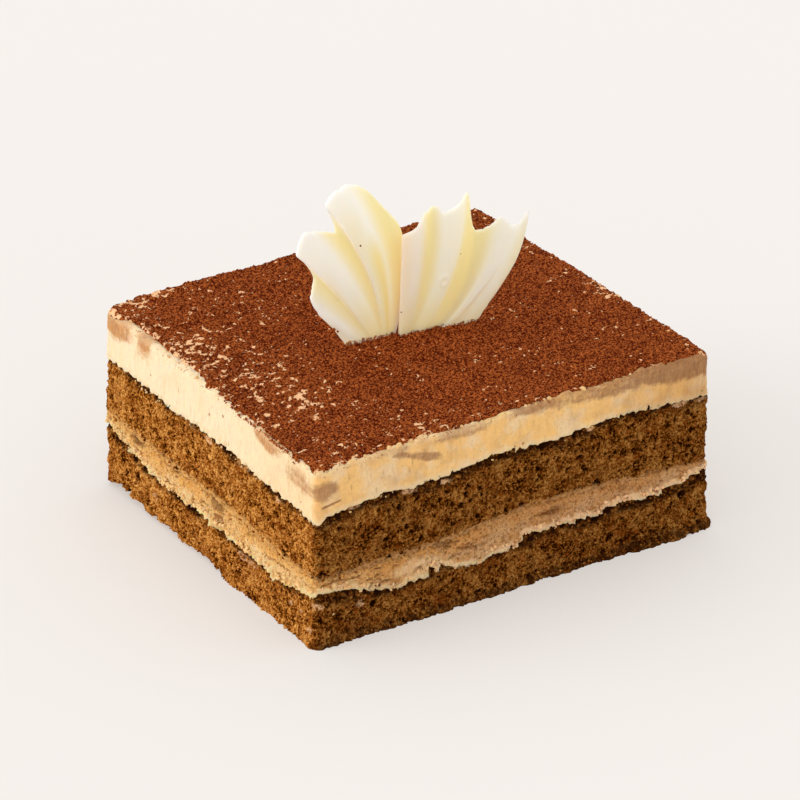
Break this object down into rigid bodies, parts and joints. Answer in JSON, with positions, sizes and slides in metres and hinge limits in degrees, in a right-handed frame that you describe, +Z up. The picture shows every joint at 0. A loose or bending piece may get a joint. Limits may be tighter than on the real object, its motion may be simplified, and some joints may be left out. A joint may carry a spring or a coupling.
{
  "type": "tiramisu slice",
  "caption": "Square-cut slice of tiramisu: coffee-soaked sponge layers with cream between and on top, a cocoa dusting, and ruffled white-chocolate fans standing in it.",
  "frame": {"origin": "middle of the underside, on the surface the slice rests on", "axes": "+Z up, +X along the longer cut faces, +Y along the shorter cut faces"},
  "size_m": [0.0935, 0.0838, 0.0715],
  "materials": {
    "sponge": "open golden-brown crumb, darker where the coffee has soaked in",
    "filling": "coffee cream, torn and smeared by the knife",
    "cream": "firm pale cream with faint knife streaks",
    "cocoa": "dry grainy powder with pale cream showing through in flecks",
    "chocolate": "satin white chocolate, slightly see-through where thin"
  },
  "bodies": {
    "root": {"sponge_base": "sponge", "cream_filling": "filling", "sponge_middle": "sponge", "cream_top": "cream", "cocoa_dusting": "cocoa", "chocolate_fan_left": "chocolate", "chocolate_fan_right": "chocolate"}
  },
  "joints": []
}
